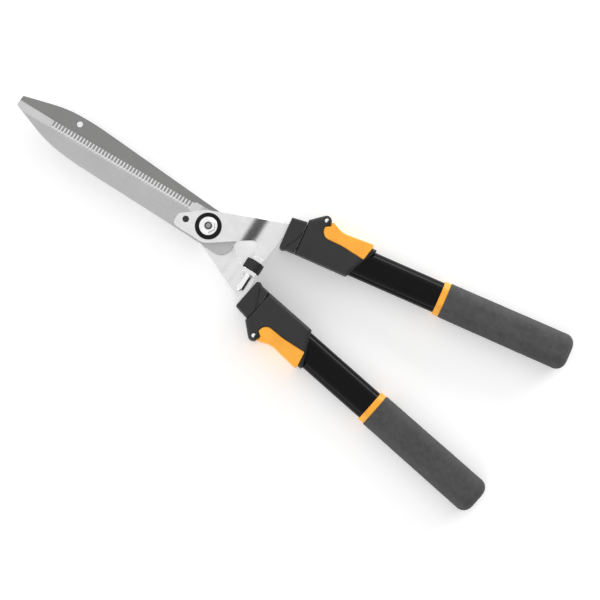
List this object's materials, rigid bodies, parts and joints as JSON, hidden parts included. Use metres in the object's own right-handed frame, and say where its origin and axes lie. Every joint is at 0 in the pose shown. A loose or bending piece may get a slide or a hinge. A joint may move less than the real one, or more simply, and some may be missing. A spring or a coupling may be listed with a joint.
{
  "type": "hedge shears",
  "caption": "Two-handed hedge shears with compound-lever blades, telescoping handles locked by cam levers, and soft grips.",
  "frame": {"origin": "centre of the pivot bolt head's outer face, on the main pivot's axis", "axes": "+X from the blade tips to the grips, +Y towards the upper handle, +Z along the pivot axis from bolt head to nut"},
  "size_m": [0.6373, 0.2186, 0.0336],
  "materials": {
    "front_blade_steel": "satin ground steel",
    "rear_blade_steel": "dark matt coating",
    "tang_steel": "bright zinc plated",
    "bolt_steel": "bright plated",
    "dark_pin": "blackened",
    "black_nylon": "matt",
    "rubber": "matt",
    "collar_plastic": "fine grain",
    "housing_plastic": "fine grain",
    "lever_plastic": "satin orange",
    "outer_tube_paint": "semi-gloss black",
    "inner_tube_metal": "satin anodised",
    "grip_foam": "soft mottled",
    "band_plastic": "satin orange",
    "white_nylon": "natural nylon"
  },
  "bodies": {
    "lower_handle": {"rear_tang": "tang_steel", "rear_link_pin": "dark_pin", "pivot_bolt": "bolt_steel", "pivot_nut": "bolt_steel", "pivot_spacer": "bolt_steel", "front_pivot_ring": "black_nylon", "rear_pivot_ring": "black_nylon", "bumper": "rubber", "bumper_stud": "bolt_steel", "bumper_washer": "bolt_steel", "bumper_nut": "bolt_steel", "lower_collar": "collar_plastic", "lower_inner_tube": "inner_tube_metal", "lower_tang_pins": "bolt_steel", "lower_tube_glide": "white_nylon"},
    "upper_handle": {"front_tang": "tang_steel", "front_link_pin": "dark_pin", "upper_collar": "collar_plastic", "upper_inner_tube": "inner_tube_metal", "upper_tang_pins": "bolt_steel", "upper_tube_glide": "white_nylon"},
    "front_blade": {"front_blade": "front_blade_steel", "blade_pin": "bolt_steel"},
    "rear_blade": {"rear_blade": "rear_blade_steel"},
    "upper_sleeve": {"upper_outer_tube": "outer_tube_paint", "upper_guide_bush": "white_nylon", "upper_clamp_housing": "housing_plastic", "upper_lever_pin": "bolt_steel", "upper_grip_band": "band_plastic", "upper_grip": "grip_foam", "upper_end_plug": "black_nylon"},
    "upper_lever": {"upper_lock_lever": "lever_plastic"},
    "upper_shoe": {"upper_clamp_shoe": "black_nylon"},
    "lower_sleeve": {"lower_outer_tube": "outer_tube_paint", "lower_guide_bush": "white_nylon", "lower_clamp_housing": "housing_plastic", "lower_lever_pin": "bolt_steel", "lower_grip_band": "band_plastic", "lower_grip": "grip_foam", "lower_end_plug": "black_nylon"},
    "lower_lever": {"lower_lock_lever": "lever_plastic"},
    "lower_shoe": {"lower_clamp_shoe": "black_nylon"}
  },
  "joints": [
    {"name": "handle_pivot", "type": "hinge", "parent": "lower_handle", "child": "upper_handle", "pos_m": [0, 0, 0.0155], "axis": [0, 0, 1], "range_deg": [0, 70]},
    {"name": "front_blade_link", "type": "hinge", "parent": "upper_handle", "child": "front_blade", "pos_m": [-0.0241, -0.00645, 0.0155], "axis": [0, 0, 1], "range_deg": [-17.72, 0.5]},
    {"name": "rear_blade_link", "type": "hinge", "parent": "lower_handle", "child": "rear_blade", "pos_m": [-0.02379, 0.00754, 0.0155], "axis": [0, 0, 1], "range_deg": [-0.5, 17.72]},
    {"name": "upper_telescope", "type": "slide", "parent": "upper_handle", "child": "upper_sleeve", "axis": [0.988, 0.1547, 0], "range_m": [0, 0.203]},
    {"name": "upper_lever_hinge", "type": "hinge", "parent": "upper_sleeve", "child": "upper_lever", "pos_m": [0.10242, 0.07181, 0.0155], "axis": [0, 0, 1], "range_deg": [0, 100]},
    {"name": "upper_shoe_slide", "type": "slide", "parent": "upper_sleeve", "child": "upper_shoe", "axis": [-0.1547, 0.988, 0], "range_m": [0, 0.0005]},
    {"name": "lower_telescope", "type": "slide", "parent": "lower_handle", "child": "lower_sleeve", "axis": [0.988, -0.1547, 0], "range_m": [0, 0.203]},
    {"name": "lower_lever_hinge", "type": "hinge", "parent": "lower_sleeve", "child": "lower_lever", "pos_m": [0.10242, -0.07181, 0.0155], "axis": [0, 0, -1], "range_deg": [0, 100]},
    {"name": "lower_shoe_slide", "type": "slide", "parent": "lower_sleeve", "child": "lower_shoe", "axis": [-0.1547, -0.988, 0], "range_m": [0, 0.0005]}
  ],
  "couplings": [
    {"joint": "front_blade_link", "follows": "handle_pivot", "ratio": -0.246},
    {"joint": "rear_blade_link", "follows": "handle_pivot", "ratio": 0.246},
    {"joint": "upper_shoe_slide", "follows": "upper_lever_hinge", "m_per_rad": 0.00028648},
    {"joint": "lower_shoe_slide", "follows": "lower_lever_hinge", "m_per_rad": 0.00028648}
  ]
}
